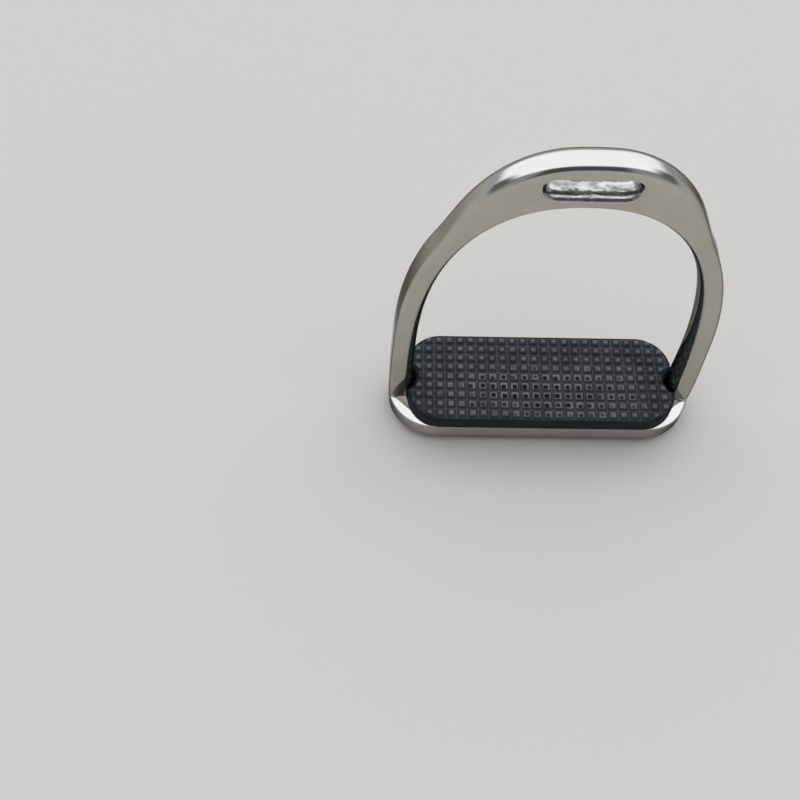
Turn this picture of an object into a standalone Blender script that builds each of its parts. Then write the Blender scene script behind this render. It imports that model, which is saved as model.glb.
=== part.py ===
"""Stirrup iron: a cast steel frame and the rubber tread that clips into its base plate.

Metres, +Z up. X runs across the iron from leg to leg and Y from front to back. The iron stands on the
block under its tread, and the origin is the middle of that block's underside.
"""

import math

import bmesh
import bpy
import numpy as np

# Clearance kept between the tread and the frame
FIT_GAP = 0.0003

# Frame: opening for the foot
CLEAR_WIDTH = 0.1143
FOOT_ROOM = 0.1291
LEG_STRAIGHT = 0.0195
TOE_IN = 0.0005
ARCH_SQUARENESS_X = 2.3
ARCH_SQUARENESS_Z = 2.6

# Frame: section of the arch at the feet, the legs and the crown, and how it eases from one to the next
FOOT_FACE = 0.0083
FOOT_LENGTH = 0.040
LEG_DEPTH = 0.0120
LEG_FACE = 0.0071
LEG_BULGE = 0.0028
LEG_INNER_FLAT = 0.0011
LEG_ROUND = 0.0018
CROWN_DEPTH = 0.0114
CROWN_BULGE = 0.0010
CROWN_INNER_FLAT = 0.0050
CROWN_ROUND = 0.0038
ROUND_START = 0.025
ROUND_LENGTH = 0.040
SHOULDER_LENGTH = 0.050
TAPER_LENGTH = 0.110

# Frame: eye for the stirrup leather
EYE_LENGTH = 0.0334
EYE_HEIGHT = 0.0089
EYE_LOWER_BAR = 0.0045
EYE_UPPER_BAR = 0.0070
EYE_MOUTH_DEPTH = 0.0026
EYE_END_FLARE = 0.0010
EYE_UPPER_FLARE = 0.0004
EYE_LOWER_FLARE = 0.0026

# Frame: base plate
BASE_DEPTH = 0.043
BASE_THICKNESS = 0.009
BASE_END_LIP = 0.0003
BASE_EDGE = 0.0005
OPENING_LENGTH = 0.0948
OPENING_WIDTH = 0.0215

# Tread: pad
PAD_END_MARGIN = 0.0084
PAD_OVERHANG = 0.0009
PAD_CORNER = 0.0155
PAD_PLATE = 0.0067
PAD_BORDER = 0.0010
NOTCH_CLEARANCE = 0.0012
FIELD_STEP = 0.0003
PYRAMID_PITCH = 0.0048
PYRAMID_HEIGHT = 0.0015
PYRAMID_TOP = 0.0011

# Tread: neck, lip and block below the pad
NECK_CLEARANCE = 0.0004
NECK_CORNER = 0.003
TONGUE_END_GAP = 0.0099
LIP_REACH = 0.0010
LIP_OVERHANG = 0.00445
LIP_THICKNESS = 0.0015
LIP_CORNER = 0.0030
GROOVE_HEIGHT = 0.0005
GROOVE_DEPTH = 0.0006
BLOCK_THICKNESS = 0.0024
BLOCK_SIDE_SLOPE = 0.0029
BLOCK_END_SLOPE = 0.0004
BLOCK_CORNER = 0.0020
SQUEEZE_LENGTH = 0.0424
SQUEEZE_WIDTH = 0.0058
SQUEEZE_DEPTH = 0.0120
SQUEEZE_CORNER = 0.0008

# Facets on round outlines
ARC_STEPS = 6
END_STEPS = 24
HALF_ARCH_STATIONS = 34
OUTLINE_SAMPLES = 2000

# Heights and reaches that follow from the sizes above
LIP_BOTTOM = BLOCK_THICKNESS + GROOVE_HEIGHT
LIP_TOP = LIP_BOTTOM + LIP_THICKNESS
BASE_BOTTOM = LIP_TOP + FIT_GAP
BASE_TOP = BASE_BOTTOM + BASE_THICKNESS
PAD_BOTTOM = BASE_TOP + FIT_GAP
PAD_FACE = PAD_BOTTOM + PAD_PLATE
PAD_VALLEY = PAD_FACE + FIELD_STEP
PAD_TOP = PAD_VALLEY + PYRAMID_HEIGHT
BASE_LENGTH = CLEAR_WIDTH + 2 * (LEG_BULGE + FOOT_FACE + BASE_END_LIP)
CROWN_FACE = EYE_LOWER_BAR + EYE_HEIGHT + EYE_UPPER_BAR
CROWN_INNER = BASE_TOP + FOOT_ROOM + CROWN_BULGE
CROWN_FLAT = (EYE_LENGTH - EYE_HEIGHT) / 4
EYE_MIDDLE = CROWN_INNER + EYE_LOWER_BAR + EYE_HEIGHT / 2
PAD_LENGTH = BASE_LENGTH - 2 * PAD_END_MARGIN
PAD_DEPTH = BASE_DEPTH + 2 * PAD_OVERHANG
NOTCH_RADIUS = LEG_DEPTH / 2 + NOTCH_CLEARANCE
NOTCH_CENTRE = CLEAR_WIDTH / 2 - NOTCH_CLEARANCE + NOTCH_RADIUS
LIP_LENGTH = OPENING_LENGTH - 2 * TONGUE_END_GAP
LIP_WIDTH = OPENING_WIDTH + 2 * LIP_OVERHANG
NECK_LENGTH = LIP_LENGTH - 2 * LIP_REACH
NECK_WIDTH = OPENING_WIDTH - 2 * NECK_CLEARANCE

# How far cutters run past the surface they cut, and joined solids into each other
OVERRUN = 0.001


def clear_scene():
    for old in list(bpy.data.objects):
        bpy.data.objects.remove(old, do_unlink=True)


def make_material(name, colour, roughness, metallic):
    material = bpy.data.materials.new(name)
    material.use_nodes = True
    shader = material.node_tree.nodes["Principled BSDF"]
    shader.inputs["Base Color"].default_value = (*colour, 1.0)
    shader.inputs["Roughness"].default_value = roughness
    shader.inputs["Metallic"].default_value = metallic
    return material


def add_object(name, mesh_edit):
    """Turns a finished edit mesh into an object of the scene, with its faces pointing out."""
    bmesh.ops.recalc_face_normals(mesh_edit, faces=mesh_edit.faces)
    mesh = bpy.data.meshes.new(name)
    mesh_edit.to_mesh(mesh)
    mesh_edit.free()
    added = bpy.data.objects.new(name, mesh)
    bpy.context.scene.collection.objects.link(added)
    return added


def add_helper(name, mesh_edit):
    """A cutter or a form to be joined: it shapes another object and isn't a piece itself."""
    helper = add_object(name, mesh_edit)
    helper.hide_render = True
    helper.display_type = "WIRE"
    return helper


def combine(target, helper, operation):
    step = target.modifiers.new(helper.name, "BOOLEAN")
    step.operation = operation
    step.solver = "EXACT"
    step.object = helper


def finish(piece, material):
    piece.data.materials.append(material)
    piece.data.shade_smooth()
    piece.data.set_sharp_from_angle(angle=math.radians(25))


def stack_rings(rings):
    """A closed solid through rings of points that all have the same count, with a flat cap at each end."""
    edit = bmesh.new()
    loops = [[edit.verts.new(point) for point in ring] for ring in rings]
    for lower, upper in zip(loops, loops[1:]):
        for k in range(len(lower)):
            edit.faces.new((lower[k - 1], lower[k], upper[k], upper[k - 1]))
    edit.faces.new(reversed(loops[0]))
    edit.faces.new(loops[-1])
    return edit


def rounded_outline(length, width, corner):
    """A rectangle about the origin with round corners, of at most half its sides, anticlockwise."""
    corner = min(corner, length / 2, width / 2)
    points = []
    for quarter in range(4):
        side_x = 1 if quarter in (0, 3) else -1
        side_y = 1 if quarter in (0, 1) else -1
        for step in range(ARC_STEPS + 1):
            turn = math.pi / 2 * (quarter + step / ARC_STEPS)
            x = side_x * (length / 2 - corner) + corner * math.cos(turn)
            y = side_y * (width / 2 - corner) + corner * math.sin(turn)
            points.append((x, y))
    return points


def oval_outline(length, width):
    """Two half circles joined by straight sides, anticlockwise."""
    radius = width / 2
    points = []
    for side, start in ((1, -math.pi / 2), (-1, math.pi / 2)):
        for step in range(END_STEPS + 1):
            turn = start + math.pi * step / END_STEPS
            points.append((side * (length / 2 - radius) + radius * math.cos(turn), radius * math.sin(turn)))
    return points


def at_height(outline, z):
    return [(x, y, z) for x, y in outline]


def prism(outline, bottom, top):
    return stack_rings([at_height(outline, bottom), at_height(outline, top)])


def ease(start, end, share):
    """From start to end as the share goes from 0 to 1, level at both ends."""
    share = min(max(share, 0.0), 1.0)
    return start + (end - start) * share * share * (3 - 2 * share)


def inner_outline():
    """Half of the arch's inner front edge, from inside the base plate up the right leg to mid crown.

    The leg bows out from its foot up to the spring of the arch and then follows a superellipse. Returns the
    points, their outward normals and the distance of each one from the crown's middle along the edge.
    """
    half_width = CLEAR_WIDTH / 2 + LEG_BULGE + TOE_IN
    spring = BASE_TOP + LEG_STRAIGHT
    drop = np.linspace(LEG_STRAIGHT + BASE_THICKNESS / 2, 0.0, OUTLINE_SAMPLES, endpoint=False)
    turn = np.linspace(0.0, math.pi / 2, OUTLINE_SAMPLES)
    curve_x = half_width * np.cos(turn).clip(0.0) ** (2 / ARCH_SQUARENESS_X)
    curve_z = spring + (CROWN_INNER - spring) * np.sin(turn) ** (2 / ARCH_SQUARENESS_Z)
    edge_x = np.concatenate([half_width - TOE_IN * (drop / LEG_STRAIGHT) ** 2, curve_x])
    edge_z = np.concatenate([spring - drop, curve_z])
    length = np.concatenate([[0.0], np.hypot(np.diff(edge_x), np.diff(edge_z)).cumsum()])

    station = np.linspace(0.0, length[-1], HALF_ARCH_STATIONS + 1)
    x = np.interp(station, length, edge_x)
    z = np.interp(station, length, edge_z)
    reach = length[-1] / OUTLINE_SAMPLES
    slope_x = np.interp(station + reach, length, edge_x) - np.interp(station - reach, length, edge_x)
    slope_z = np.interp(station + reach, length, edge_z) - np.interp(station - reach, length, edge_z)
    slope_x[-1] = -1.0
    slope_z[-1] = 0.0
    scale = np.hypot(slope_x, slope_z)
    return x, z, slope_z / scale, -slope_x / scale, length[-1] - station


def arch_section(distance, height):
    """Section of the arch, this far from the crown's middle and this high above the base plate.

    Its points are (way out from the inner front edge, depth). The inner wall is a broad round about a flat
    strip, the front and back are flat, and the outer edges are round, less so down the legs. The front face
    eases over the shoulder from the crown's width to the leg's and widens again to the foot.
    """
    leg_face = ease(FOOT_FACE, LEG_FACE, height / FOOT_LENGTH)
    face = ease(CROWN_FACE, leg_face, (distance - CROWN_FLAT) / SHOULDER_LENGTH)
    rounding = ease(CROWN_ROUND, LEG_ROUND, (distance - ROUND_START) / ROUND_LENGTH)
    taper = distance / TAPER_LENGTH
    half = ease(CROWN_DEPTH, LEG_DEPTH, taper) / 2
    bulge = ease(CROWN_BULGE, LEG_BULGE, taper)
    flat = ease(CROWN_INNER_FLAT, LEG_INNER_FLAT, taper) / 2
    turns = [math.pi / 2 * step / ARC_STEPS for step in range(ARC_STEPS + 1)]
    inner = [(-bulge * math.cos(turn), flat + (half - flat) * math.sin(turn)) for turn in turns]
    outer = [(face - rounding + rounding * math.sin(turn),
              half - rounding + rounding * math.cos(turn)) for turn in turns]
    quarter = inner + outer
    return quarter + [(out, -depth) for out, depth in reversed(quarter)]


def arch_form():
    """Both legs and the crown as one solid, with the feet sunk into the base plate."""
    half_rings = []
    for x, z, normal_x, normal_z, distance in zip(*inner_outline()):
        half_rings.append([(x + out * normal_x, depth, z + out * normal_z)
                           for out, depth in arch_section(distance, z - BASE_TOP)])
    other_half = [[(-x, y, z) for x, y, z in ring] for ring in half_rings[-2::-1]]
    return stack_rings(half_rings + other_half)


def base_form():
    """Base plate: an oval slab with its rims rounded over."""
    edit = prism(oval_outline(BASE_LENGTH, BASE_DEPTH), BASE_BOTTOM, BASE_TOP)
    rims = [edge for edge in edit.edges if edge.verts[0].co.z == edge.verts[1].co.z]
    bmesh.ops.bevel(edit, geom=rims, offset=BASE_EDGE, segments=2, profile=0.5, affect="EDGES")
    return edit


def opening_cutter():
    return prism(oval_outline(OPENING_LENGTH, OPENING_WIDTH), BASE_BOTTOM - OVERRUN, BASE_TOP + OVERRUN)


def eye_cutter():
    """The eye's oval, flared at the front and back where its rim is worn round, most at the lower bar."""
    half = CROWN_DEPTH / 2
    past_rim = 1 + OVERRUN / EYE_MOUTH_DEPTH
    rings = []
    for y, flare in ((-half - OVERRUN, past_rim), (EYE_MOUTH_DEPTH - half, 0.0),
                     (half - EYE_MOUTH_DEPTH, 0.0), (half + OVERRUN, past_rim)):
        outline = oval_outline(EYE_LENGTH + 2 * flare * EYE_END_FLARE,
                               EYE_HEIGHT + flare * (EYE_UPPER_FLARE + EYE_LOWER_FLARE))
        middle = EYE_MIDDLE + flare * (EYE_UPPER_FLARE - EYE_LOWER_FLARE) / 2
        rings.append([(x, y, middle + z) for x, z in outline])
    return stack_rings(rings)


def build_frame():
    frame = add_object("iron_frame", base_form())
    combine(frame, add_helper("arch_form", arch_form()), "UNION")
    combine(frame, add_helper("base_opening_cutter", opening_cutter()), "DIFFERENCE")
    combine(frame, add_helper("eye_cutter", eye_cutter()), "DIFFERENCE")
    finish(frame, make_material("polished_steel", (0.58, 0.57, 0.54), 0.12, 1.0))


def pad_form(inset, bottom, top):
    """Upright prism on the pad's outline, drawn in all round by an inset."""
    outline = rounded_outline(PAD_LENGTH - 2 * inset, PAD_DEPTH - 2 * inset, PAD_CORNER - inset)
    return prism(outline, bottom, top)


def cut_notches(piece, inset):
    """Takes a round notch out of each end of the piece, where a leg stands, widened by an inset."""
    width = 2 * (NOTCH_RADIUS + inset)
    for side, place in ((1, "right"), (-1, "left")):
        outline = [(side * NOTCH_CENTRE + x, y) for x, y in oval_outline(width, width)]
        cutter = prism(outline, PAD_BOTTOM - 2 * OVERRUN, PAD_TOP + 2 * OVERRUN)
        combine(piece, add_helper(f"{piece.name}_{place}_notch", cutter), "DIFFERENCE")


def pyramid_slab():
    """A slab larger than the pad, its top a grid of blunt pyramids whose feet meet in the valleys.

    A valley runs along the middle of the pad's length, and a row of pyramids along the middle of its depth.
    """
    columns = math.ceil(PAD_LENGTH / PYRAMID_PITCH) + 1
    rows = math.ceil(PAD_DEPTH / PYRAMID_PITCH) + 1
    columns += columns % 2
    rows += (rows + 1) % 2
    edit = bmesh.new()

    def level(z):
        return [[edit.verts.new(((i - columns / 2) * PYRAMID_PITCH, (j - rows / 2) * PYRAMID_PITCH, z))
                 for j in range(rows + 1)] for i in range(columns + 1)]

    def rim(grid):
        return ([grid[i][0] for i in range(columns)] + [grid[columns][j] for j in range(rows)]
                + [grid[i][rows] for i in range(columns, 0, -1)] + [grid[0][j] for j in range(rows, 0, -1)])

    valley = level(PAD_VALLEY)
    for i in range(columns):
        for j in range(rows):
            foot = [valley[i][j], valley[i + 1][j], valley[i + 1][j + 1], valley[i][j + 1]]
            middle = (foot[0].co + foot[2].co) / 2
            top = [edit.verts.new(middle + (vert.co - middle) * (PYRAMID_TOP / PYRAMID_PITCH))
                   for vert in foot]
            for vert in top:
                vert.co.z = PAD_TOP
            for k in range(4):
                edit.faces.new((foot[k - 1], foot[k], top[k], top[k - 1]))
            edit.faces.new(top)

    upper = rim(valley)
    lower = rim(level(PAD_FACE - OVERRUN))
    for k in range(len(upper)):
        edit.faces.new((lower[k - 1], lower[k], upper[k], upper[k - 1]))
    edit.faces.new(reversed(lower))
    loose = [vert for vert in edit.verts if not vert.link_faces]
    bmesh.ops.delete(edit, geom=loose, context="VERTS")
    return edit


def pyramid_field():
    """The gripping face of the pad: the pyramids within its plain border."""
    field = add_helper("pyramid_field", pyramid_slab())
    trim = pad_form(PAD_BORDER, PAD_BOTTOM - OVERRUN, PAD_TOP + OVERRUN)
    combine(field, add_helper("field_outline", trim), "INTERSECT")
    cut_notches(field, PAD_BORDER)
    return field


def tongue_form():
    """Block, lip and neck as one stepped solid whose top is sunk into the pad."""
    def step(z, inset_x, inset_y, corner):
        return at_height(rounded_outline(LIP_LENGTH - 2 * inset_x, LIP_WIDTH - 2 * inset_y, corner), z)

    neck = rounded_outline(NECK_LENGTH, NECK_WIDTH, NECK_CORNER)
    return stack_rings([
        step(0.0, BLOCK_END_SLOPE, BLOCK_SIDE_SLOPE, BLOCK_CORNER),
        step(BLOCK_THICKNESS, 0.0, 0.0, LIP_CORNER),
        step(BLOCK_THICKNESS, GROOVE_DEPTH, GROOVE_DEPTH, LIP_CORNER),
        step(LIP_BOTTOM, GROOVE_DEPTH, GROOVE_DEPTH, LIP_CORNER),
        step(LIP_BOTTOM, 0.0, 0.0, LIP_CORNER),
        step(LIP_TOP, 0.0, 0.0, LIP_CORNER),
        at_height(neck, LIP_TOP),
        at_height(neck, PAD_BOTTOM + OVERRUN),
    ])


def squeeze_cutter():
    return prism(rounded_outline(SQUEEZE_LENGTH, SQUEEZE_WIDTH, SQUEEZE_CORNER), -OVERRUN, SQUEEZE_DEPTH)


def build_tread():
    tread = add_object("rubber_tread", pad_form(0.0, PAD_BOTTOM, PAD_FACE))
    cut_notches(tread, 0.0)
    combine(tread, pyramid_field(), "UNION")
    combine(tread, add_helper("tongue_form", tongue_form()), "UNION")
    combine(tread, add_helper("squeeze_cutter", squeeze_cutter()), "DIFFERENCE")
    finish(tread, make_material("black_rubber", (0.042, 0.052, 0.056), 0.72, 0.0))


clear_scene()
build_frame()
build_tread()
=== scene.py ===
import bmesh
import bpy
import numpy as np
from mathutils import Matrix, Vector


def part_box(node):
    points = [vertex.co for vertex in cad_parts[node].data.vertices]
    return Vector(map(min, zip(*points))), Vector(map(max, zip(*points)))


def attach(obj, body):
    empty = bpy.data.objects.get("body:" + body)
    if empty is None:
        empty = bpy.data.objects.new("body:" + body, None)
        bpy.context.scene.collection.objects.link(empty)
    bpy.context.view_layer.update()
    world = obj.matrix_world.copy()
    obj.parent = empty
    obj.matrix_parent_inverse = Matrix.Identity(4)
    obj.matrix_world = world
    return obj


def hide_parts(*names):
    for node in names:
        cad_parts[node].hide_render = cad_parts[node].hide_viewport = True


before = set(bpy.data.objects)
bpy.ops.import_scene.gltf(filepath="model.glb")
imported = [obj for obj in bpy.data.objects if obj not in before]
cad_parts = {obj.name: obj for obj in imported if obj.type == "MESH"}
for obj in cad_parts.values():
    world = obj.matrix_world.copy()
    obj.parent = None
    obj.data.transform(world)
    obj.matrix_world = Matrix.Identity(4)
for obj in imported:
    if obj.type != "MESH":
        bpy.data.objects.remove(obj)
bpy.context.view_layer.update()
ironLow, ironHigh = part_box("iron_frame")
scene = bpy.context.scene
scene.view_settings.view_transform = "Standard"
mm = 0.001

# camera, solved from the corners of the base plate, the eye and the crown
view = {
    "place": (-72.0 * mm, -252.7 * mm, 429.0 * mm),
    "forward": (0.018, 0.507, -0.862),
    "up": (-0.015, 0.862, 0.507),
    "lens": 47.83,  # focal length and sensor width in mm
    "sensor": 36.0,
    "nearest": 10.0 * mm,  # nothing closer than this is drawn
}


def addCamera(settings):
    forward = Vector(settings["forward"]).normalized()
    right = forward.cross(Vector(settings["up"])).normalized()
    up = right.cross(forward)
    turn = Matrix((right, up, -forward)).transposed().to_4x4()
    lens = bpy.data.cameras.new("camera")
    lens.sensor_width = settings["sensor"]
    lens.lens = settings["lens"]
    lens.clip_start = settings["nearest"]
    camera = bpy.data.objects.new("camera", lens)
    camera.matrix_world = Matrix.Translation(settings["place"]) @ turn
    scene.collection.objects.link(camera)
    scene.camera = camera


addCamera(view)
print("camera placed")


# value from start to end, level at both, as share goes from 0 to 1: s * s * (3 - 2 s)
def easeBetween(start, end, share):
    share = np.clip(share, 0.0, 1.0)
    return start + (end - start) * share * share * (3.0 - 2.0 * share)


# faces of a grid of points whose columns close into rings; rows close too, or end in flat caps
def gridFaces(rows, columns, rowsClose):
    index = np.arange(rows * columns).reshape(rows, columns)
    aside = np.roll(index, -1, axis=1)
    quads = np.stack([index, aside, np.roll(aside, -1, axis=0), np.roll(index, -1, axis=0)], axis=-1)
    if rowsClose:
        return quads.reshape(-1, 4).tolist()
    return quads[:-1].reshape(-1, 4).tolist() + [index[0].tolist(), index[-1].tolist()]


def addMesh(name, points, faces):
    mesh = bpy.data.meshes.new(name)
    mesh.from_pydata(points.reshape(-1, 3).tolist(), [], faces)
    edit = bmesh.new()
    edit.from_mesh(mesh)
    bmesh.ops.recalc_face_normals(edit, faces=edit.faces)
    edit.to_mesh(mesh)
    edit.free()
    added = bpy.data.objects.new(name, mesh)
    scene.collection.objects.link(added)
    return added


def addLoft(name, grid, rowsClose=False):
    return addMesh(name, grid, gridFaces(grid.shape[0], grid.shape[1], rowsClose))


# target plus or minus each helper in turn; the helpers go when it is done
def combine(target, steps):
    for operation, helper in steps:
        cut = target.modifiers.new(helper.name, "BOOLEAN")
        cut.operation = operation
        cut.solver = "EXACT"
        cut.object = helper
    bpy.context.view_layer.update()
    evaluated = target.evaluated_get(bpy.context.evaluated_depsgraph_get())
    result = bpy.data.meshes.new_from_object(evaluated)
    target.modifiers.clear()
    target.data = result
    for operation, helper in steps:
        bpy.data.objects.remove(helper)


def smoothShade(piece, sharpDegrees):
    piece.data.shade_smooth()
    piece.data.set_sharp_from_angle(angle=np.radians(sharpDegrees))


def pointsOf(piece):
    flat = np.empty(len(piece.data.vertices) * 3)
    piece.data.vertices.foreach_get("co", flat)
    return flat.reshape(-1, 3)


def storeMask(piece, name, values):
    layer = piece.data.attributes.new(name, "FLOAT", "POINT")
    layer.data.foreach_set("value", values.astype(np.float32))


# two half circles joined by straight sides; each half circle and each side has its own share of points
def ovalOutline(length, width, endPoints, sidePoints):
    radius = width / 2
    reach = length / 2 - radius
    turn = np.linspace(-np.pi / 2, np.pi / 2, endPoints)
    side = np.linspace(reach, -reach, sidePoints + 2)[1:-1]
    right = np.stack([reach + radius * np.cos(turn), radius * np.sin(turn)], axis=-1)
    top = np.stack([side, np.full(sidePoints, radius)], axis=-1)
    return np.concatenate([right, top, -right, -top])


# unit normals of a closed outline that runs anticlockwise, pointing out: the chord between neighbours,
# turned by a quarter
def outlineNormals(outline):
    chord = np.roll(outline, -1, axis=0) - np.roll(outline, 1, axis=0)
    out = np.stack([chord[:, 1], -chord[:, 0]], axis=-1)
    return out / np.linalg.norm(out, axis=1, keepdims=True)


# closed outline smoothed by a bell curve along its length, through its Fourier series, then stepped evenly
def softOutline(outline, spread, count, fineSteps=8192):
    closed = np.concatenate([outline, outline[:1]])
    way = np.concatenate([[0.0], np.linalg.norm(np.diff(closed, axis=0), axis=1).cumsum()])
    even = np.linspace(0.0, way[-1], fineSteps, endpoint=False)
    signal = np.interp(even, way, closed[:, 0]) + 1j * np.interp(even, way, closed[:, 1])
    wave = np.fft.fftfreq(fineSteps, d=way[-1] / fineSteps)
    soft = np.fft.ifft(np.fft.fft(signal) * np.exp(-2 * (np.pi * wave * spread) ** 2))
    pick = np.linspace(0, fineSteps, count, endpoint=False).astype(int)
    return np.stack([soft.real[pick], soft.imag[pick]], axis=-1)


# frame: arch, base plate and eye of one steel casting
iron = {
    "clearWidth": 114.3 * mm,
    "legStraight": 19.5 * mm,
    "toeIn": 0.5 * mm,
    "squareX": 2.3,
    "squareZ": 2.6,
    "legDepth": 12.0 * mm,
    "legFace": 6.1 * mm,
    "footFace": 7.3 * mm,
    "footLength": 40.0 * mm,  # height over which the face widens to the foot
    "legBulge": 3.8 * mm,
    "legFlat": 1.1 * mm,
    "crownDepth": 11.4 * mm,
    "crownFace": 20.4 * mm,
    "crownBulge": 1.0 * mm,
    "crownFlat": 5.0 * mm,
    "crownRoll": (3.5 * mm, 4.3 * mm),  # outer edge, along the face and along the outer wall
    "legRoll": (1.8 * mm, 1.8 * mm),
    "rollEase": (25.0 * mm, 65.0 * mm),  # way from the crown's middle over which it tightens
    "levelCrown": 6.1 * mm,  # half length of the crown that keeps its full face
    "shoulder": 53.0 * mm,
    "taper": 110.0 * mm,
    "baseLength": 137.1 * mm,
    "baseDepth": 43.0 * mm,
    "baseThickness": 9.0 * mm,
    "openingLength": 94.8 * mm,
    "openingWidth": 21.5 * mm,
    "rimRound": 0.4 * mm,
    "endFall": 1.6 * mm,  # how far the top falls to its rim at the round ends
    "endFallReach": 7.0 * mm,
    "endFallFrom": (42.0 * mm, 56.0 * mm),  # from the middle, where the fall starts and is full
    "openingRound": 0.5 * mm,
    "footFillet": 0.5 * mm,
    "filletSink": 0.05 * mm,  # how far its foot lies below the plate's top
    "filletMost": 0.96,  # share of its height over which it grows
    "filletFade": 1.4,  # how fast it ends towards the outer wall
    "halfStations": 170,
    "pathSteps": 4000,  # fine steps from which the even stations are read
    "slopeReach": 0.4 * mm,  # way to each side over which the path's slope is taken
    "arcSteps": 16,
    "faceLines": 8,
    "endPoints": 97,  # on each round end of the base plate, then on each straight side
    "sidePoints": 60,
    "rimSteps": 9,
    "fallSteps": 15,
    "sharpDegrees": 11.5,
}

eye = {
    "length": 33.4 * mm,
    "height": 8.9 * mm,
    "lowerBar": 4.5 * mm,
    "mouthDepth": 4.0 * mm,
    "endRoll": 1.9 * mm,
    "upperRoll": 0.8 * mm,
    "lowerRoll": 3.3 * mm,
    "softEnds": 1.3 * mm,
    "mouthTurn": 1.42,  # radians that the roll turns, just short of a quarter
    "pastFace": 1.0 * mm,  # the cutter runs on past the face and widens by this share of the rolls
    "pastGrow": 0.25,
    "castWave": 0.05 * mm,
    "castWaves": (  # share, waves round the oval and their start, waves in depth and their start
        (1.0, 6, 0.7, 700, 2.0),
        (0.8, 17, 0.0, 1100, 0.0),
        (0.6, 31, 0.4, 1700, 1.0),
    ),
    "castFade": 4.0,  # how fast the waves end in the mouth
    "skinInset": 0.3 * mm,  # how far inside the faces the cast skin starts
    "skinReach": 2.4 * mm,  # how far past the throat it goes, and the way over which it fades
    "skinFade": 1.5 * mm,
    "mouthSteps": 14,
    "throatSteps": 9,
    "endPoints": 49,
    "sidePoints": 40,
    "outlinePoints": 176,
}

baseBottom = ironLow.z
baseTop = baseBottom + iron["baseThickness"]
crownInner = ironHigh.z - iron["crownFace"]
eyeMiddle = crownInner + eye["lowerBar"] + eye["height"] / 2


# inner front edge of one half, foot to crown: a leg bowed as a parabola, then a superellipse
# |x/a|^p + |z/b|^q = 1, at even steps of length, with outward normals and the way to the crown's middle
def archPath(sizes):
    halfWidth = sizes["clearWidth"] / 2 + sizes["legBulge"] + sizes["toeIn"]
    spring = baseTop + sizes["legStraight"]
    foot = sizes["legStraight"] + sizes["baseThickness"] / 2
    drop = np.linspace(foot, 0.0, sizes["pathSteps"], endpoint=False)
    turn = np.linspace(0.0, np.pi / 2, sizes["pathSteps"])
    bow = halfWidth - sizes["toeIn"] * (drop / sizes["legStraight"]) ** 2
    curveX = halfWidth * np.cos(turn).clip(0.0) ** (2 / sizes["squareX"])
    curveZ = spring + (crownInner - spring) * np.sin(turn) ** (2 / sizes["squareZ"])
    edge = np.stack([np.concatenate([bow, curveX]), np.concatenate([spring - drop, curveZ])], axis=-1)
    way = np.concatenate([[0.0], np.linalg.norm(np.diff(edge, axis=0), axis=1).cumsum()])
    station = np.linspace(0.0, way[-1], sizes["halfStations"] + 1)
    reach = sizes["slopeReach"]

    def at(place):
        return np.stack([np.interp(place, way, edge[:, 0]), np.interp(place, way, edge[:, 1])], axis=-1)

    slope = at(station + reach) - at(station - reach)
    slope[-1] = (-1.0, 0.0)
    slope /= np.linalg.norm(slope, axis=1, keepdims=True)
    return at(station), np.stack([slope[:, 1], -slope[:, 0]], axis=-1), way[-1] - station


# section of the arch for each station: a quarter ellipse on the inside, a flat face and a quarter ellipse
# on the outside, mirrored from front to back; the face and the depth ease from the crown's to the leg's,
# and the face widens again to the foot
def archSections(sizes, distance, height):
    pastCrown = (distance - sizes["levelCrown"]) / sizes["shoulder"]
    face = easeBetween(sizes["crownFace"], sizes["legFace"], pastCrown)
    face = easeBetween(sizes["footFace"], face, height / sizes["footLength"])
    taper = distance / sizes["taper"]
    half = easeBetween(sizes["crownDepth"], sizes["legDepth"], taper) / 2
    bulge = easeBetween(sizes["crownBulge"], sizes["legBulge"], taper)
    flat = easeBetween(sizes["crownFlat"], sizes["legFlat"], taper) / 2
    turn = np.linspace(0.0, np.pi / 2, sizes["arcSteps"] + 1)[None, :]
    start, end = sizes["rollEase"]
    roll, rollDepth = [easeBetween(crown, leg, (distance - start) / (end - start))
                       for crown, leg in zip(sizes["crownRoll"], sizes["legRoll"])]
    innerOut = -bulge * np.cos(turn)
    innerDepth = flat + (half - flat) * np.sin(turn)
    outerOut = face - roll + roll * np.sin(turn)
    outerDepth = half - rollDepth + rollDepth * np.cos(turn)
    across = np.linspace(0.0, 1.0, sizes["faceLines"])[None, 1:-1]
    faceOut = across * (face - roll)
    faceDepth = half + 0.0 * across
    out = np.concatenate([innerOut, faceOut, outerOut], axis=1)
    depth = np.concatenate([innerDepth, faceDepth, outerDepth], axis=1)
    return np.concatenate([out, out[:, ::-1]], axis=1), np.concatenate([depth, -depth[:, ::-1]], axis=1)


# fillet at the foot: within its radius of the base plate the section grows along its own normals by
# r - sqrt(r^2 - (r - height)^2), and not on the outer wall, which runs on into the plate's end
def footFlare(sizes, out, depth, height):
    radius = sizes["footFillet"]
    low = np.clip(1.0 - height / radius, 0.0, sizes["filletMost"])
    grow = radius * (1.0 - np.sqrt(1.0 - low ** 2))
    chordOut = np.roll(out, -1, axis=1) - np.roll(out, 1, axis=1)
    chordDepth = np.roll(depth, -1, axis=1) - np.roll(depth, 1, axis=1)
    size = np.hypot(chordOut, chordDepth) + 1e-12  # never quite nothing
    normalOut, normalDepth = chordDepth / size, -chordOut / size
    facing = np.sign((normalDepth * depth).sum(axis=1, keepdims=True))  # turns the normals outwards
    atOuterWall = np.clip(facing * normalOut, 0.0, 1.0)
    share = np.clip(1.0 - sizes["filletFade"] * atOuterWall, 0.0, 1.0)
    return out + facing * normalOut * grow * share, depth + facing * normalDepth * grow * share


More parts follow.
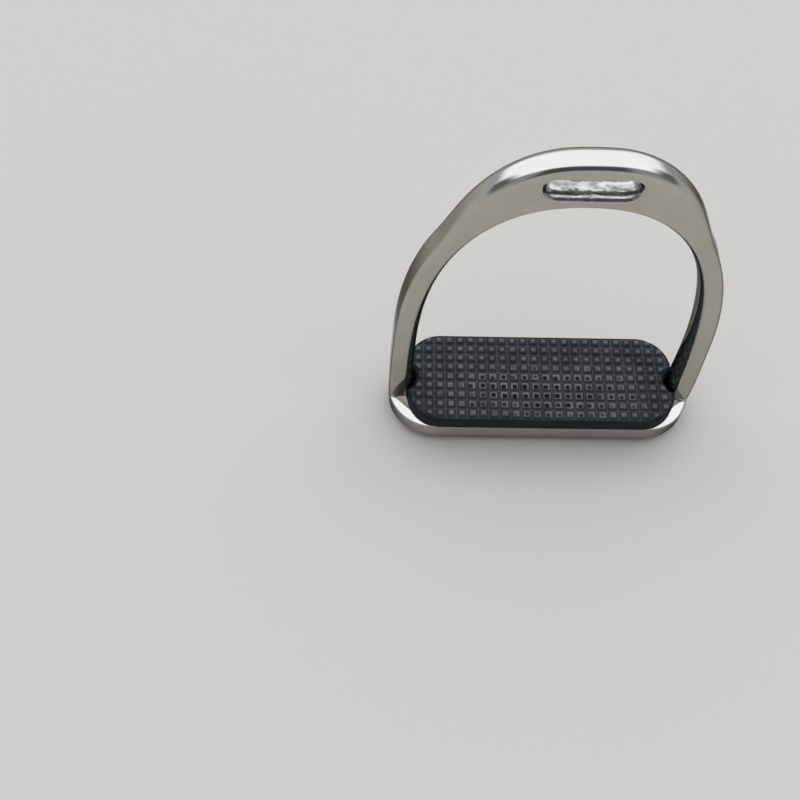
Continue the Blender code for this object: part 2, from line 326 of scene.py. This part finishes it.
# arch: the section carried along the path, out along its normal and in depth along Y
def archGrid(sizes):
    place, normal, distance = archPath(sizes)
    height = place[:, 1:] - baseTop
    out, depth = archSections(sizes, distance[:, None], height)
    out, depth = footFlare(sizes, out, depth, height + sizes["filletSink"])
    x = place[:, :1] + out * normal[:, :1]
    z = place[:, 1:] + out * normal[:, 1:]
    right = np.stack([x, depth, z], axis=-1)
    left = right[-2::-1] * np.array([-1.0, 1.0, 1.0])
    return np.concatenate([right, left])


# base plate: a rounded slab section carried round the ring between the opening and the outer oval; towards
# the round ends its top falls to the rim by fall * (1 - inset / reach)^2
def baseGrid(sizes):
    points = (sizes["endPoints"], sizes["sidePoints"])
    outer = ovalOutline(sizes["baseLength"], sizes["baseDepth"], *points)
    inner = ovalOutline(sizes["openingLength"], sizes["openingWidth"], *points)
    outerNormal, innerNormal = outlineNormals(outer), outlineNormals(inner)
    turn = np.linspace(0.0, np.pi / 2, sizes["rimSteps"])
    rim, hole, reach = sizes["rimRound"], sizes["openingRound"], sizes["endFallReach"]
    start, full = sizes["endFallFrom"]
    atEnds = easeBetween(0.0, sizes["endFall"], (np.abs(outer[:, 0]) - start) / (full - start))
    rows = []

    def addRow(outline, z):
        rows.append(np.stack([outline[:, 0], outline[:, 1], z + 0.0 * atEnds], axis=-1))

    def topAt(inset):
        return baseTop - atEnds * (1.0 - inset / reach) ** 2

    for step in turn:
        inset = rim * (1 - np.cos(step))
        addRow(outer - outerNormal * inset, topAt(inset) - rim * (1 - np.sin(step)))
    for inset in np.linspace(rim, reach, sizes["fallSteps"])[1:]:
        addRow(outer - outerNormal * inset, topAt(inset))
    for step in turn[::-1]:
        addRow(inner + innerNormal * hole * (1 - np.cos(step)), baseTop - hole * (1 - np.sin(step)))
    for step in turn:
        addRow(inner + innerNormal * hole * (1 - np.cos(step)), baseBottom + hole * (1 - np.sin(step)))
    for step in turn[::-1]:
        addRow(outer - outerNormal * rim * (1 - np.cos(step)), baseBottom + rim * (1 - np.sin(step)))
    return np.stack(rows)


# eye cutter: an oval carried from front to back, growing at each mouth as a quarter ellipse so that the
# rim is rolled, most at the lower bar; the throat waves a little, as cast, by products of sines
def eyeGrid(sizes, wall):
    half = wall / 2
    turn = np.linspace(0.0, sizes["mouthTurn"], sizes["mouthSteps"])
    depthIn = half - sizes["mouthDepth"] + sizes["mouthDepth"] * np.sin(turn)
    roll = 1.0 - np.cos(turn)
    throat = np.linspace(0.0, depthIn[0], sizes["throatSteps"])[:-1]
    depth = np.concatenate([throat, depthIn, [half + sizes["pastFace"]]])
    grow = np.concatenate([0.0 * throat, roll, [roll[-1] + sizes["pastGrow"]]])
    depth = np.concatenate([-depth[:0:-1], depth])[:, None]
    grow = np.concatenate([grow[:0:-1], grow])[:, None]
    oval = ovalOutline(sizes["length"], sizes["height"], sizes["endPoints"], sizes["sidePoints"])
    oval = softOutline(oval, sizes["softEnds"], sizes["outlinePoints"])
    normal = outlineNormals(oval)
    lift = np.where(normal[:, 1] > 0, sizes["upperRoll"], sizes["lowerRoll"])
    x = oval[:, 0] + grow * normal[:, 0] * sizes["endRoll"]
    z = oval[:, 1] + grow * normal[:, 1] * lift
    along = np.cumsum(np.linalg.norm(np.diff(oval, axis=0, append=oval[:1]), axis=1))
    turns = 2 * np.pi * along / along[-1]
    wave = sum(share * np.sin(around * turns + aroundStart) * np.cos(deep * depth + deepStart)
               for share, around, aroundStart, deep, deepStart in sizes["castWaves"])
    wave = wave * sizes["castWave"] * np.clip(1.0 - sizes["castFade"] * grow, 0.0, 1.0)
    x = x - wave * normal[:, 0]
    z = z - wave * normal[:, 1]
    return np.stack([x, depth + 0.0 * x, eyeMiddle + z], axis=-1)


# how much of the cast skin shows, 0 to 1: whole in the throat, falling with the distance from the oval's
# middle line
def castSkin(sizes, wall, place):
    reach = sizes["length"] / 2 - sizes["height"] / 2
    away = np.hypot(np.clip(np.abs(place[:, 0]) - reach, 0.0, None), place[:, 2] - eyeMiddle)
    inside = np.abs(place[:, 1]) < wall / 2 - sizes["skinInset"]
    left = sizes["height"] / 2 + sizes["skinReach"] - away
    return np.clip(left / sizes["skinFade"], 0.0, 1.0) * inside


def buildFrame():
    piece = addLoft("ironFrame", archGrid(iron))
    cutter = addLoft("eyeCutter", eyeGrid(eye, iron["crownDepth"]))
    plate = addLoft("basePlate", baseGrid(iron), rowsClose=True)
    combine(piece, [("DIFFERENCE", cutter), ("UNION", plate)])
    smoothShade(piece, iron["sharpDegrees"])
    storeMask(piece, "castSkin", castSkin(eye, iron["crownDepth"], pointsOf(piece)))
    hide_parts("iron_frame")
    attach(piece, "iron")
    print("frame built,", len(piece.data.polygons), "faces")
    return piece


# tread: pad with a field of pyramids, and the tongue that clips it into the base plate
pad = {
    "length": 120.3 * mm,
    "depth": 44.8 * mm,
    "corner": 15.5 * mm,
    "notchRadius": 7.2 * mm,
    "notchCentre": 63.15 * mm,
    "plate": 6.9 * mm,
    "seat": 0.05 * mm,  # gap left to the base plate
    "edgeRound": 0.5 * mm,
    "softening": 0.3 * mm,
    "fieldInset": 0.35 * mm,  # the studs are trimmed this far inside the outline, from this far down
    "fieldSink": 0.6 * mm,
    "trimHeight": 5.0 * mm,
    "faceSlack": 0.05 * mm,  # points this little below the face still count as on it
    "cornerPoints": 400,
    "bitePoints": 120,
    "sidePoints": 200,
    "outlinePoints": 560,
    "edgeSteps": 7,
    "sharpDegrees": 24.0,
}

stud = {
    "pitch": 4.8 * mm,
    "height": 1.72 * mm,
    "columns": 26,
    "rows": 11,
    "gutter": 0.95,  # shares of the half pitch where the slope starts and ends
    "top": 0.2,
    "cornerPower": 10,  # the higher, the squarer
    "softness": 0.05,  # rounding of foot and top, as a share of the height
    "lattice": (0.0, 0.1, 0.18, 0.26, 0.35, 0.47, 0.68, 0.88, 0.96),  # lines over half a stud
    "lift": 0.1 * mm,  # gutters above the pad's face
    "sink": 0.8 * mm,  # lowest points of the field and its floor, below the face
    "floor": 1.5 * mm,
    "border": 0.9 * mm,  # plain edge of the pad, and the slope up from it
    "borderSlope": 3.0,
    "heightChance": (0.9, 1.0),
    "wearChance": (0.45, 1.0),
    "wornTop": 0.54,  # share of the height left where the tops are worn flat
    "fullWear": 0.5,  # wear at which they are
    "pitDepth": 1.3 * mm,
    "pitRadius": 0.95 * mm,
    "pitShift": (-0.12 * mm, -0.3 * mm),  # pits open towards the front, each with a stray of its own
    "pitStray": 0.16 * mm,
    "pitMiddle": (2.0 * mm, -8.0 * mm),  # worn patch of the pad, where the tops are flat and pitted
    "pitReach": (76.0 * mm, 22.0 * mm),
    "seed": 11,
}

padBottom = baseTop + pad["seat"]
padFace = padBottom + pad["plate"]


# pad outline: a rounded rectangle with a round bite out of each end, which meets the corners' arcs; a
# quarter of it is mirrored both ways
def padOutline(sizes):
    endX, sideY = sizes["length"] / 2, sizes["depth"] / 2
    corner, centre, radius = sizes["corner"], sizes["notchCentre"], sizes["notchRadius"]
    turn = np.linspace(0.0, np.pi / 2, sizes["cornerPoints"])
    arcX = endX - corner + corner * np.cos(turn)
    arcY = sideY - corner + corner * np.sin(turn)
    clear = np.hypot(arcX - centre, arcY) >= radius
    arcX, arcY = arcX[clear], arcY[clear]
    biteEnd = np.arctan2(arcY[0], centre - arcX[0])
    bite = np.linspace(0.0, biteEnd, sizes["bitePoints"], endpoint=False)
    side = np.linspace(endX - corner, 0.0, sizes["sidePoints"])[1:]
    x = np.concatenate([centre - radius * np.cos(bite), arcX, side])
    y = np.concatenate([radius * np.sin(bite), arcY, np.full(len(side), sideY)])
    half = np.concatenate([np.stack([x, y], axis=-1), np.stack([-x[-2::-1], y[-2::-1]], axis=-1)])
    loop = np.concatenate([half, (half * (1.0, -1.0))[-2:0:-1]])
    return softOutline(loop, sizes["softening"], sizes["outlinePoints"])


# pad plate: the outline stacked from its lower to its upper edge, each edge a quarter round
def padGrid(sizes, outline):
    normal = outlineNormals(outline)
    radius = sizes["edgeRound"]
    turn = np.linspace(0.0, np.pi / 2, sizes["edgeSteps"])
    inset = np.concatenate([radius * (1 - np.sin(turn)), radius * (1 - np.cos(turn))])
    z = np.concatenate([padBottom + radius * (1 - np.cos(turn)), padFace - radius * (1 - np.sin(turn))])
    flat = outline[None] - normal[None] * inset[:, None, None]
    return np.concatenate([flat, np.broadcast_to(z[:, None, None], flat.shape[:2] + (1,))], axis=-1)


# depth inside the pad's outline: the rounded rectangle's distance or the notches', whichever is less
def insideDepth(sizes, x, y):
    overX = np.abs(x) - (sizes["length"] / 2 - sizes["corner"])
    overY = np.abs(y) - (sizes["depth"] / 2 - sizes["corner"])
    outside = np.hypot(overX.clip(0.0), overY.clip(0.0)) + np.minimum(np.maximum(overX, overY), 0.0)
    notch = np.hypot(np.abs(x) - sizes["notchCentre"], y) - sizes["notchRadius"]
    return np.minimum(sizes["corner"] - outside, notch)


# one stud: a blunt pyramid, height falling with the largest of |u| and |v|, taken as the n-th root of
# |u|^n + |v|^n; foot and top are softened by 0.5 * (s + sqrt(s^2 + soft^2))
def studHeight(sizes, u, v):
    power, soft = sizes["cornerPower"], sizes["softness"]
    largest = (np.abs(u) ** power + np.abs(v) ** power) ** (1 / power)
    share = (sizes["gutter"] - largest) / (sizes["gutter"] - sizes["top"])
    rise = 0.5 * (share + np.sqrt(share ** 2 + soft ** 2))
    return sizes["height"] * (1.0 - 0.5 * ((1.0 - rise) + np.sqrt((1.0 - rise) ** 2 + soft ** 2)))


# how worn each stud is, 0 to 1: most in the middle of the worn patch, times a chance of its own; with the
# distance from the middle of the stud's pit, as the fourth root of dx^4 + dy^4
def studWear(sizes, x, y):
    random = np.random.default_rng(sizes["seed"])
    chance = random.uniform(*sizes["wearChance"], (sizes["columns"], sizes["rows"]))
    stray = random.normal(0.0, sizes["pitStray"], (2, sizes["columns"], sizes["rows"]))
    cellX = x / sizes["pitch"] + sizes["columns"] / 2
    cellY = y / sizes["pitch"] + sizes["rows"] / 2
    column = np.clip(np.floor(cellX), 0, sizes["columns"] - 1).astype(int)
    row = np.clip(np.floor(cellY), 0, sizes["rows"] - 1).astype(int)
    middleX = (column + 0.5 - sizes["columns"] / 2) * sizes["pitch"]
    middleY = (row + 0.5 - sizes["rows"] / 2) * sizes["pitch"]
    patch = np.hypot((middleX - sizes["pitMiddle"][0]) / sizes["pitReach"][0],
                     (middleY - sizes["pitMiddle"][1]) / sizes["pitReach"][1])
    pitX = middleX + sizes["pitShift"][0] + stray[0][column, row]
    pitY = middleY + sizes["pitShift"][1] + stray[1][column, row]
    away = ((x - pitX) ** 4 + (y - pitY) ** 4) ** 0.25
    return easeBetween(1.0, 0.0, patch) * chance[column, row], away


# height that a stud's top is worn to: eased from whole to the worn share of it as the wear grows
def studLevel(sizes, x, y):
    wear = studWear(sizes, x, y)[0]
    return easeBetween(1.0, sizes["wornTop"], wear / sizes["fullWear"]) * sizes["height"]


# pit in a worn top: a bell, depth * exp(-(r / size)^4)
def pitDepth(sizes, x, y):
    worn, away = studWear(sizes, x, y)
    return worn * sizes["pitDepth"] * np.exp(-(away / sizes["pitRadius"]) ** 4)


# field of studs: a height over a lattice whose lines follow the studs' own edges, the stud or its worn
# level less the pit, cut down along the pad's edge by a slope; with each point's place within its stud
def studField(sizes):
    random = np.random.default_rng(sizes["seed"] + 1)
    columns, rows = sizes["columns"], sizes["rows"]
    halfCell = np.array(sizes["lattice"])
    cell = np.concatenate([[-1.0], -halfCell[:0:-1], halfCell])
    u = np.concatenate([np.tile(cell, columns), [1.0]])
    v = np.concatenate([np.tile(cell, rows), [1.0]])
    cellX = np.concatenate([np.repeat(np.arange(columns), len(cell)), [columns - 1]])
    cellY = np.concatenate([np.repeat(np.arange(rows), len(cell)), [rows - 1]])
    pitch = sizes["pitch"]
    x = ((cellX - (columns - 1) / 2) + u / 2) * pitch
    y = ((cellY - (rows - 1) / 2) + v / 2) * pitch
    gridX, gridY = np.meshgrid(x, y, indexing="ij")
    gridU, gridV = np.meshgrid(u, v, indexing="ij")
    ownHeight = random.uniform(*sizes["heightChance"], (columns, rows))
    level = studLevel(sizes, gridX, gridY)
    height = np.minimum(studHeight(sizes, gridU, gridV), level) * ownHeight[cellX][:, cellY]
    height = height - pitDepth(sizes, gridX, gridY)
    edge = insideDepth(pad, gridX, gridY)
    z = padFace + sizes["lift"] + np.minimum(height, (edge - sizes["border"]) * sizes["borderSlope"])
    z = np.maximum(z, padFace - sizes["sink"])
    top = np.stack([gridX, gridY, z], axis=-1)
    return top, gridU, gridV


# the field as a solid: its squares split along the studs' ridges, walls down from its rim and a flat floor
def addField(sizes):
    top, gridU, gridV = studField(sizes)
    rows, columns = top.shape[:2]
    index = np.arange(rows * columns).reshape(rows, columns)
    a, b, c, d = index[:-1, :-1], index[1:, :-1], index[1:, 1:], index[:-1, 1:]
    midU = (gridU[:-1, :-1] + gridU[1:, 1:]) / 2
    midV = (gridV[:-1, :-1] + gridV[1:, 1:]) / 2
    rising = (midU * midV > 0)[..., None]  # where the ridge runs along a to c
    first = np.where(rising, np.stack([a, b, c], axis=-1), np.stack([a, b, d], axis=-1))
    second = np.where(rising, np.stack([a, c, d], axis=-1), np.stack([b, c, d], axis=-1))
    faces = np.concatenate([first.reshape(-1, 3), second.reshape(-1, 3)]).tolist()
    rim = np.concatenate([index[:-1, 0], index[-1, :-1], index[:0:-1, -1], index[0, :0:-1]])
    points = top.reshape(-1, 3)
    lower = points[rim].copy()
    lower[:, 2] = padFace - sizes["floor"]
    lowIndex = len(points) + np.arange(len(rim))
    walls = np.stack([rim, lowIndex, np.roll(lowIndex, -1), np.roll(rim, -1)], axis=-1)
    faces += walls.tolist() + [lowIndex.tolist()]
    return addMesh("studField", np.concatenate([points, lower]), faces)


tongue = {
    "length": 75.0 * mm,
    "width": 30.4 * mm,
    "neckLength": 73.0 * mm,
    "neckWidth": 20.7 * mm,
    "neckCorner": 3.0 * mm,
    "lipThickness": 1.5 * mm,
    "groove": 0.5 * mm,
    "grooveDepth": 0.6 * mm,
    "block": 2.4 * mm,
    "sideSlope": 2.9 * mm,
    "endSlope": 0.4 * mm,
    "corner": 3.0 * mm,
    "blockCorner": 2.0 * mm,
    "edgeRound": 0.25 * mm,
    "edgeMiddle": 0.3,  # inset and height of the round's middle, as a share of it
    "step": 0.05 * mm,  # height over which block, groove, lip and neck give way to each other
    "neckSink": 1.0 * mm,  # how far the neck runs up into the pad
    "ripple": 0.08 * mm,
    "rippleWaves": (2.3 * mm, 5.1 * mm, 0.4 * mm),  # two along the edge, and the shift with height
    "slotLength": 42.4 * mm,
    "slotWidth": 5.8 * mm,
    "slotDepth": 12.0 * mm,
    "slotCorner": 0.8 * mm,
    "slotBelow": 1.0 * mm,  # how far under the block the cutter starts
    "slotMouth": (0.3 * mm, 0.5 * mm),  # height where the mouth ends, and how much wider the cutter starts
    "slotTaper": 0.2 * mm,  # how much narrower the roof is
}


# rectangle with round corners; every outline of the stack has the same count of points on each side
def roundedOutline(length, width, corner, arcPoints=12, longPoints=60, shortPoints=24):
    turn = np.linspace(0.0, np.pi / 2, arcPoints)
    x, y = length / 2 - corner, width / 2 - corner
    arc = corner * np.stack([np.cos(turn), np.sin(turn)], axis=-1)
    flip = np.array([-1.0, 1.0])
    side = np.linspace(y, -y, shortPoints + 2)[1:-1]
    run = np.linspace(x, -x, longPoints + 2)[1:-1]
    first = arc + (x, y)
    top = np.stack([run, np.full(longPoints, width / 2)], axis=-1)
    second = arc[::-1] * flip + (-x, y)
    left = np.stack([np.full(shortPoints, -length / 2), side], axis=-1)
    half = np.concatenate([first, top, second, left])
    return np.concatenate([half, -half])


# tongue: rounded rectangles stacked as block, groove, lip and neck, with a slight ripple along each edge,
# the product of two sines
def tongueGrid(sizes):
    rows = []
    first, second, shift = sizes["rippleWaves"]

    def addLevel(z, insetX, insetY, corner):
        outline = roundedOutline(sizes["length"] - 2 * insetX, sizes["width"] - 2 * insetY, corner)
        ripple = np.sin(outline[:, 0] / first) * np.sin(outline[:, 0] / second + z / shift)
        outline = outline - outlineNormals(outline) * (sizes["ripple"] * (1.0 + ripple))[:, None]
        rows.append(np.concatenate([outline, np.full((len(outline), 1), z)], axis=1))

    def addBand(low, high, insetLow, insetHigh, corner):
        edge, middle = sizes["edgeRound"], sizes["edgeMiddle"]
        for share, z in ((1.0, low), (middle, low + middle * edge), (0.0, low + edge)):
            addLevel(z, insetLow[0] + share * edge, insetLow[1] + share * edge, corner)
        for share, z in ((0.0, high - edge), (middle, high - middle * edge), (1.0, high)):
            addLevel(z, insetHigh[0] + share * edge, insetHigh[1] + share * edge, corner)

    lipBottom = sizes["block"] + sizes["groove"]
    lipTop = lipBottom + sizes["lipThickness"]
    slope = (sizes["endSlope"], sizes["sideSlope"])
    deep = (sizes["grooveDepth"],) * 2
    neck = ((sizes["length"] - sizes["neckLength"]) / 2, (sizes["width"] - sizes["neckWidth"]) / 2)
    whole = (0.0, 0.0)
    addBand(0.0, sizes["block"], slope, whole, sizes["blockCorner"])
    addLevel(sizes["block"] + sizes["step"], *deep, sizes["corner"])
    addLevel(lipBottom - sizes["step"], *deep, sizes["corner"])
    addBand(lipBottom, lipTop, whole, whole, sizes["corner"])
    addLevel(lipTop + sizes["step"], *neck, sizes["neckCorner"])
    addLevel(padBottom + sizes["neckSink"], *neck, sizes["neckCorner"])
    return np.stack(rows)


# slot: a rounded rectangle pushed up into the block, its mouth a little wider than its roof
def slotGrid(sizes):
    rows = []
    length, width, corner = sizes["slotLength"], sizes["slotWidth"], sizes["slotCorner"]
    mouth, wider = sizes["slotMouth"]
    levels = ((-sizes["slotBelow"], wider), (mouth, 0.0), (sizes["slotDepth"], -sizes["slotTaper"]))
    for z, spread in levels:
        outline = roundedOutline(length + spread, width + spread, corner)
        rows.append(np.concatenate([outline, np.full((len(outline), 1), z)], axis=1))
    return np.stack(rows)


def buildTread():
    outline = padOutline(pad)
    piece = addLoft("rubberTread", padGrid(pad, outline))
    field = addField(stud)
    inset = outline - outlineNormals(outline) * pad["fieldInset"]
    low = np.concatenate([inset, np.full((len(inset), 1), padFace - pad["fieldSink"])], axis=1)
    trim = addLoft("fieldTrim", np.stack([low, low + (0.0, 0.0, pad["trimHeight"])]))
    combine(field, [("INTERSECT", trim)])
    stem = addLoft("tongue", tongueGrid(tongue))
    slot = addLoft("slot", slotGrid(tongue))
    combine(piece, [("UNION", field), ("UNION", stem), ("DIFFERENCE", slot)])
    smoothShade(piece, pad["sharpDegrees"])
    x, y, z = pointsOf(piece).T
    onFace = z > padFace - pad["faceSlack"]
    level = studLevel(stud, x, y)
    storeMask(piece, "studRise", np.clip((z - padFace) / level, 0.0, 1.0) * onFace)
    storeMask(piece, "studWorn", studWear(stud, x, y)[0] * onFace)
    storeMask(piece, "studPit", pitDepth(stud, x, y) / stud["pitDepth"] * onFace)
    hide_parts("rubber_tread")
    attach(piece, "tread")
    print("tread built,", len(piece.data.polygons), "faces")
    return piece


ironFrame = buildFrame()
rubberTread = buildTread()


# shader helper: a node with its settings, then each input linked if it is given a socket, or set
def addNode(tree, kind, values=None, **settings):
    node = tree.nodes.new(kind)
    for name, value in settings.items():
        setattr(node, name, value)
    for socket, value in (values or {}).items():
        if isinstance(value, bpy.types.NodeSocket):
            tree.links.new(value, node.inputs[socket])
        else:
            node.inputs[socket].default_value = value
    return node


# the Mix node's colour sockets go by number, because its sockets share their names
def mixColours(tree, share, first, second):
    inputs = {0: share, 6: first, 7: second}
    return addNode(tree, "ShaderNodeMix", inputs, data_type="RGBA").outputs[2]


def blendRange(tree, value, fromLow, fromHigh, toLow, toHigh, kind="LINEAR"):
    inputs = {"Value": value, "From Min": fromLow, "From Max": fromHigh, "To Min": toLow, "To Max": toHigh}
    return addNode(tree, "ShaderNodeMapRange", inputs, interpolation_type=kind).outputs["Result"]


def calc(tree, operation, first, second):
    return addNode(tree, "ShaderNodeMath", {0: first, 1: second}, operation=operation).outputs[0]


# group: patches of noise at a scale, sharpened between two levels
def makePatches(detail=4.0, roughness=0.55):
    group = bpy.data.node_groups.new("patches", "ShaderNodeTree")
    for name in ("Scale", "Low", "High"):
        group.interface.new_socket(name, in_out="INPUT", socket_type="NodeSocketFloat")
    group.interface.new_socket("Stretch", in_out="INPUT", socket_type="NodeSocketVector")
    group.interface.new_socket("Mask", in_out="OUTPUT", socket_type="NodeSocketFloat")
    given = group.nodes.new("NodeGroupInput").outputs
    end = group.nodes.new("NodeGroupOutput")
    place = addNode(group, "ShaderNodeTexCoord").outputs["Object"]
    mapped = addNode(group, "ShaderNodeMapping", {"Vector": place, "Scale": given["Stretch"]}).outputs[0]
    inputs = {"Vector": mapped, "Scale": given["Scale"], "Detail": detail, "Roughness": roughness}
    noise = addNode(group, "ShaderNodeTexNoise", inputs).outputs[0]
    group.links.new(blendRange(group, noise, given["Low"], given["High"], 0.0, 1.0), end.inputs["Mask"])
    return group


patches = makePatches()


def addPatches(tree, scale, low, high, stretch=(1.0, 1.0, 1.0)):
    inputs = {"Scale": scale, "Low": low, "High": high, "Stretch": stretch}
    return addNode(tree, "ShaderNodeGroup", inputs, node_tree=patches).outputs["Mask"]


def newMaterial(name):
    material = bpy.data.materials.new(name)
    material.use_nodes = True
    tree = material.node_tree
    return material, tree, tree.nodes["Principled BSDF"]


steel = {
    "bright": (0.52, 0.502, 0.455, 1.0),
    "dull": (0.47, 0.453, 0.405, 1.0),
    "castBright": (0.50, 0.492, 0.46, 1.0),
    "castDark": (0.20, 0.196, 0.185, 1.0),
    "atEdges": (0.2, 0.2, 0.19, 1.0),  # share of the shine left where the steel is seen edge on
    "clouds": (60.0, 0.35, 0.7),  # patches: scale, low and high level, and stretch
    "lumps": (270.0, 0.34, 0.62, (0.6, 1.0, 1.0)),
    "brushed": (300.0, 0.3, 0.75, (1.0, 6.0, 0.4)),
    "waves": (90.0, 0.0, 1.0),
    "polishRough": (0.05, 0.11),
    "castRough": 0.14,  # added where the cast skin shows
    "waveHeight": 0.012,  # heights as shares of the bump's
    "castHeight": 0.25,
    "bumpDistance": 0.4 * mm,
    "bumpStrength": 1.0,
}


def addBump(tree, shader, height, settings):
    inputs = {"Height": height, "Distance": settings["bumpDistance"], "Strength": settings["bumpStrength"]}
    bump = addNode(tree, "ShaderNodeBump", inputs)
    tree.links.new(bump.outputs["Normal"], shader.inputs["Normal"])


def readMask(tree, name):
    return addNode(tree, "ShaderNodeAttribute", attribute_name=name).outputs["Fac"]


def steelMaterial():
    material, tree, shader = newMaterial("polishedSteel")
    cast = readMask(tree, "castSkin")
    clouds = addPatches(tree, *steel["clouds"])
    polished = mixColours(tree, clouds, steel["bright"], steel["dull"])
    lumps = addPatches(tree, *steel["lumps"])
    skin = mixColours(tree, lumps, steel["castDark"], steel["castBright"])
    tree.links.new(mixColours(tree, cast, polished, skin), shader.inputs["Base Color"])
    brushed = addPatches(tree, *steel["brushed"])
    smooth = blendRange(tree, brushed, 0.0, 1.0, *steel["polishRough"])
    rough = calc(tree, "MULTIPLY", cast, steel["castRough"])
    tree.links.new(calc(tree, "ADD", smooth, rough), shader.inputs["Roughness"])
    shader.inputs["Metallic"].default_value = 1.0
    shader.inputs["Specular Tint"].default_value = steel["atEdges"]
    waves = addPatches(tree, *steel["waves"])
    waveHeight = calc(tree, "MULTIPLY", waves, steel["waveHeight"])
    castHeight = calc(tree, "MULTIPLY", calc(tree, "MULTIPLY", lumps, cast), steel["castHeight"])
    addBump(tree, shader, calc(tree, "ADD", waveHeight, castHeight), steel)
    return material


rubber = {
    "dark": (0.005, 0.0058, 0.0063, 1.0),
    "body": (0.011, 0.013, 0.015, 1.0),
    "dust": (0.058, 0.07, 0.074, 1.0),
    # worn: colour of the lighter stud tops, worn rubber where the patch is worn and a painted highlight on
    # every top
    "worn": (0.148, 0.165, 0.174, 1.0),
    "clouds": (170.0, 0.3, 0.7),  # patches: scale, low and high level
    "uneven": (110.0, 0.3, 0.7),
    "grain": (1500.0, 0.3, 0.7),
    "unevenShare": (0.45, 1.0),
    "dustStarts": (0.0, 0.05, 0.0, 1.0),  # ramps: a mask's two values, and what they become
    "dustEnds": (0.06, 0.3, 1.0, 0.34),
    "topStarts": (0.6, 0.92, 0.0, 1.0),
    "topWorn": (0.0, 0.6, 0.75, 1.0),
    "pitShadeStarts": (0.15, 0.5, 0.0, 1.0),
    "rough": (0.55, 0.8),
    "shine": 0.16,
    "bumpDistance": 0.08 * mm,
    "bumpStrength": 0.6,
}


def rubberMaterial():
    material, tree, shader = newMaterial("blackRubber")
    rise = readMask(tree, "studRise")
    worn = readMask(tree, "studWorn")
    pit = readMask(tree, "studPit")
    clouds = addPatches(tree, *rubber["clouds"])
    plain = mixColours(tree, clouds, rubber["dark"], rubber["body"])
    uneven = blendRange(tree, addPatches(tree, *rubber["uneven"]), 0.0, 1.0, *rubber["unevenShare"])
    gutter = calc(tree, "MULTIPLY", blendRange(tree, rise, *rubber["dustStarts"]),
                  blendRange(tree, rise, *rubber["dustEnds"]))
    dusty = mixColours(tree, calc(tree, "MULTIPLY", gutter, uneven), plain, rubber["dust"])
    # stud tops lighter by height: worn rubber, more where the patch is worn, and a painted highlight on
    # every top
    wornAndHighlit = calc(tree, "MULTIPLY", blendRange(tree, rise, *rubber["topStarts"]),
                  blendRange(tree, worn, *rubber["topWorn"]))
    topped = mixColours(tree, calc(tree, "MULTIPLY", wornAndHighlit, uneven), dusty, rubber["worn"])
    # painted shade: the pits in the worn tops are painted dark over their dimples
    pitShade = blendRange(tree, pit, *rubber["pitShadeStarts"])
    tree.links.new(mixColours(tree, pitShade, topped, rubber["dark"]), shader.inputs["Base Color"])
    grain = addPatches(tree, *rubber["grain"])
    tree.links.new(blendRange(tree, grain, 0.0, 1.0, *rubber["rough"]), shader.inputs["Roughness"])
    shader.inputs["Specular IOR Level"].default_value = rubber["shine"]
    addBump(tree, shader, grain, rubber)
    return material


def dress(piece, material):
    piece.data.materials.clear()
    piece.data.materials.append(material)


dress(ironFrame, steelMaterial())
dress(rubberTread, rubberMaterial())
print("materials made")

studio = {
    "floorReach": 12.0,
    "floorColour": (0.52, 0.492, 0.44, 1.0),
    "floorRough": 0.9,
    "softbox": 1.62,  # overhead; the next four lay it out, as parts of the sky's dome
    "softboxWide": (0.74, 0.9),
    "softboxFront": (-0.64, -0.42),
    "softboxBow": 0.5,  # how much its front edge draws back to the sides
    "softboxBack": (0.76, 0.96),
    "backShare": 0.3,  # how much of its light is left behind its back edge
    "dome": 0.2,  # the rest of the sky, then its front and the front's two sides
    "domeFront": 0.11,
    "domeSide": 0.45,
    "frontEdge": (-0.6, -0.1),
    "sideEdge": (0.3, 0.6),
    "horizon": 0.62,  # even light low down all round, and where it gives way to the rest
    "horizonEdge": (0.1, 0.28),
    "light": (0.94, 0.98, 1.06, 1.0),
}


def addFloor(settings):
    corners = settings["floorReach"] * np.array([(-1, -1, 0), (1, -1, 0), (1, 1, 0), (-1, 1, 0)])
    mesh = bpy.data.meshes.new("floor")
    mesh.from_pydata(corners.tolist(), [], [(0, 1, 2, 3)])
    floor = bpy.data.objects.new("floor", mesh)
    scene.collection.objects.link(floor)
    material, tree, shader = newMaterial("paleFloor")
    shader.inputs["Base Color"].default_value = settings["floorColour"]
    shader.inputs["Roughness"].default_value = settings["floorRough"]
    dress(floor, material)


# sky: a dome that is darkest straight to the front, with one soft-edged bright field overhead and an even
# band along the horizon; each edge is an eased step
def addSky(settings):
    world = bpy.data.worlds.new("studioSky")
    world.use_nodes = True
    tree = world.node_tree
    scene.world = world
    place = addNode(tree, "ShaderNodeTexCoord")
    split = addNode(tree, "ShaderNodeSeparateXYZ", {0: place.outputs["Generated"]})

    def easedStep(value, edges, low, high):
        return blendRange(tree, value, *edges, low, high, kind="SMOOTHSTEP")

    aside = calc(tree, "ABSOLUTE", split.outputs["X"], 0.0)
    wide = easedStep(aside, settings["softboxWide"], 1.0, 0.0)
    bow = calc(tree, "MULTIPLY", calc(tree, "MULTIPLY", aside, aside), settings["softboxBow"])
    front = easedStep(calc(tree, "SUBTRACT", split.outputs["Y"], bow), settings["softboxFront"], 0.0, 1.0)
    back = easedStep(split.outputs["Y"], settings["softboxBack"], settings["softbox"],
                     settings["softbox"] * settings["backShare"])
    box = calc(tree, "MULTIPLY", calc(tree, "MULTIPLY", wide, front), back)
    fore = easedStep(aside, settings["sideEdge"], settings["domeFront"], settings["domeSide"])
    dome = easedStep(split.outputs["Y"], settings["frontEdge"], fore, settings["dome"])
    strength = easedStep(split.outputs["Z"], settings["horizonEdge"], settings["horizon"],
                         calc(tree, "ADD", dome, box))
    background = tree.nodes["Background"]
    background.inputs["Color"].default_value = settings["light"]
    tree.links.new(strength, background.inputs["Strength"])


addFloor(studio)
addSky(studio)
print("studio lit")
